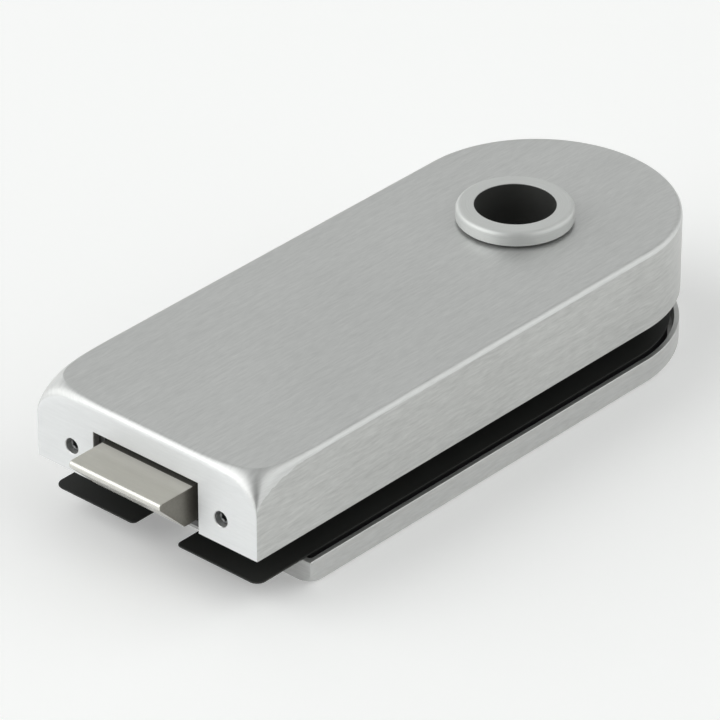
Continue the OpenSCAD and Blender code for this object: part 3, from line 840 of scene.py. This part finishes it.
# ------------------------------------------------------------------ pieces
case = make_case()
unfold(case, CZ1 * 0.001)
place(case, "case", "housing", "case_aluminium", "case_cover")
case.data.materials.append(M["front"])
case.data.materials.append(M["side"])
for f in case.data.polygons:
    if f.normal.x < -0.80 and f.center.x * 1000 < CX0 + 6:
        f.material_index = 1
    # upright faces take the darker, shaded copy of the case metal
    elif abs(f.normal.z) < 0.2:
        f.material_index = 2
# partly a milled finish, partly painted light: the front's whiter base stands for the light falling on it
mark_corners(case, "milled_lit", lambda n, p: (-n.x - 0.905) / 0.045)
plate = make_counterplate()
unfold(plate, PZ0 * 0.001)
place(plate, "plate", "housing", "case_aluminium", "counterplate")
ring = make_ring()
turn_uv(ring)
place(ring, "ring", "housing", "ring_aluminium", "handle_ring")
# painted shade: the neck under the ring's flange takes the black material, standing for the shadow in the gap there
ring.data.materials.append(M["black"])
for f in ring.data.polygons:
    if f.center.z * 1000 < CZ1 + 0.69 and math.hypot(f.center.x, f.center.y) * 1000 > 13.0:
        f.material_index = 1
place(make_bush(), "black", "housing", "black_plastic", "handle_bush")
head = place(make_latch(), "latch", "latch", "latch_nickel", "latch_bolt")
for finish in ("flank", "slot_light", "inner"):
    head.data.materials.append(M[finish])
for f in head.data.polygons:
    # side faces take the painted shade
    if abs(f.normal.y) > 0.75:
        f.material_index = 1
    # faces behind the slot plane take the painted shade
    elif f.center.x * 1000 > CX0 + 0.62:
        f.material_index = 3
    # top faces behind the nose take the painted light towards the slot
    elif f.normal.z > 0.5 and f.center.x * 1000 > LX0 + 1.6:
        f.material_index = 2
grain_uv(head)
# partly polish, partly painted highlight: the mark follows faces turned towards the key light
mark_corners(head, "polished_lit", lambda n, p: (-n.x - 0.05) / 0.45)
# painted light: the mark rises towards the slot plane, to offset the shade there
mark_corners(head, "slot_light", lambda n, p: (p.x * 1000 - CX0 + 4.6) / 5.6)
place(make_plate(), "layer", "housing", "black_layer", "intermediate_plate")
place(make_set_screws(), "set", "housing", "screw_steel", "cover_screws")

tail_lo, tail_hi = mm("latch_tail")
coil_a = make_coil("latch_coil", "latch_spring", 3.15, 0.9, 14, 0.0, (tail_lo[2] + tail_hi[2]) / 2)
place(coil_a, "spring", "housing", "spring_steel", "latch_spring")
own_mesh(coil_a)
pl_lo, pl_hi = mm("spring_plunger")
coil_b = make_coil("follower_coil", "follower_spring", 3.2, 1.1, 9, (pl_lo[1] + pl_hi[1]) / 2, (pl_lo[2] + pl_hi[2]) / 2)
place(coil_b, "spring", "housing", "spring_steel", "follower_spring")
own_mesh(coil_b)

FINISH = {
    # front_guide, tail_guide and plunger_block take the cast finish, darkened as painted shade
    "ring_circlip": "spring", "base_plate": "zinc", "front_guide": "cast", "guide_screws": "screw",
    "latch_tail": "zinc", "tail_rivets": "screw", "spring_post": "screw", "spring_rod": "screw",
    "tail_guide": "cast", "follower": "follower", "drive_pin": "screw", "spring_plunger": "screw",
    "plunger_block": "cast", "stop_pins": "screw", "lower_bearing": "bronze", "upper_bearing": "lined",
    "mechanism_lid": "zinc", "lid_pillars": "screw", "lid_screws": "screw", "case_gasket": "layer",
    "counter_carrier": "coated", "carrier_screws": "screw", "clamp_screws": "screw",
    "glass_sleeves": "black", "hub_sleeve": "black", "counter_bush": "black",
}
for n, f in FINISH.items():
    dress(NODES[n], f)

# ------------------------------------------------------------------ floor and light
floor_me = bpy.data.meshes.new("floor")
floor_me.from_pydata([(-6, -6, 0), (6, -6, 0), (6, 6, 0), (-6, 6, 0)], [], [(0, 1, 2, 3)])
floor = bpy.data.objects.new("floor", floor_me)
scene.collection.objects.link(floor)
fm = Mat("floor_white")
fm.set(Base_Color=(0.92, 0.92, 0.92, 1), Roughness=0.9, Metallic=0.0)
fm.bsdf.inputs["Specular IOR Level"].default_value = 0.0
fm.bsdf.inputs["Emission Color"].default_value = (1, 1, 1, 1)
fm.bsdf.inputs["Emission Strength"].default_value = 0.20
floor_me.materials.append(fm.m)

world = bpy.data.worlds.new("studio")
world.use_nodes = True
wt = world.node_tree
bg = wt.nodes["Background"]
bg.inputs["Color"].default_value = (0.985, 1.0, 0.985, 1)


def wall_light(total, az, wide, soft, low, high, fade, gain):
    """Adds a soft light wall to the surrounding: its bearing, half width and
    height limits in degrees, with soft edges."""
    tc = wt.nodes.new("ShaderNodeTexCoord")

    def along(x, y, z):
        n = wt.nodes.new("ShaderNodeVectorMath")
        n.operation = "DOT_PRODUCT"
        n.inputs[1].default_value = (x, y, z)
        wt.links.new(tc.outputs["Generated"], n.inputs[0])
        return n.outputs["Value"]

    def node(op, a, b=None):
        n = wt.nodes.new("ShaderNodeMath")
        n.operation = op
        for i, q in enumerate((a, b)):
            if isinstance(q, (int, float)):
                n.inputs[i].default_value = q
            elif q is not None:
                wt.links.new(q, n.inputs[i])
        return n.outputs[0]

    def ramp(q, full, none, top=1.0):
        n = wt.nodes.new("ShaderNodeMapRange")
        n.interpolation_type = "SMOOTHSTEP"
        lo, hi = min(full, none), max(full, none)
        n.inputs["From Min"].default_value = math.radians(lo)
        n.inputs["From Max"].default_value = math.radians(hi)
        n.inputs["To Min"].default_value = top if full < none else 0.0
        n.inputs["To Max"].default_value = 0.0 if full < none else top
        wt.links.new(q, n.inputs["Value"])
        return n.outputs["Result"]

    c, k = math.cos(math.radians(az)), math.sin(math.radians(az))
    turn = node("ABSOLUTE", node("ARCTAN2", along(-k, c, 0), along(c, k, 0)))
    rise = node("ARCSINE", along(0, 0, 1))
    w = node("MULTIPLY", ramp(turn, wide, wide + soft), ramp(rise, high, high + fade))
    w = node("MULTIPLY", w, ramp(rise, low, low - fade, gain))
    return node("ADD", total, w)


sky = 0.34
sky = wall_light(sky, 148, 37, 10, -5, 58, 14, 1.22)
sky = wall_light(sky, 88, 20, 9, -5, 25, 10, 0.62)
sky = wall_light(sky, 328, 20, 9, -5, 49, 10, 0.80)
sky = wall_light(sky, 280, 19, 9, 17, 52, 22, 0.82)
sky = wall_light(sky, 42, 18, 35, 10, 50, 30, 0.25)
sky = wall_light(sky, 227, 13, 10, 8, 65, 12, -0.28)
wt.links.new(sky, bg.inputs["Strength"])
scene.world = world


def softbox(name, at, size, power, colour=(1, 1, 1), look=(-0.045, 0.0, 0.02)):
    d = bpy.data.lights.new(name, "AREA")
    d.shape = "RECTANGLE"
    d.size, d.size_y = size
    d.energy = power
    d.color = colour
    o = bpy.data.objects.new(name, d)
    scene.collection.objects.link(o)
    at = Vector(at)
    o.location = at
    o.rotation_euler = (Vector(look) - at).to_track_quat("-Z", "Y").to_euler()
    return o


softbox("key_left", (-1.9, 0.9, 1.2), (1.6, 1.4), 5.0)

scene.view_settings.view_transform = "Standard"
scene.view_settings.look = "None"
scene.view_settings.exposure = 0.0
scene.view_settings.gamma = 1.0
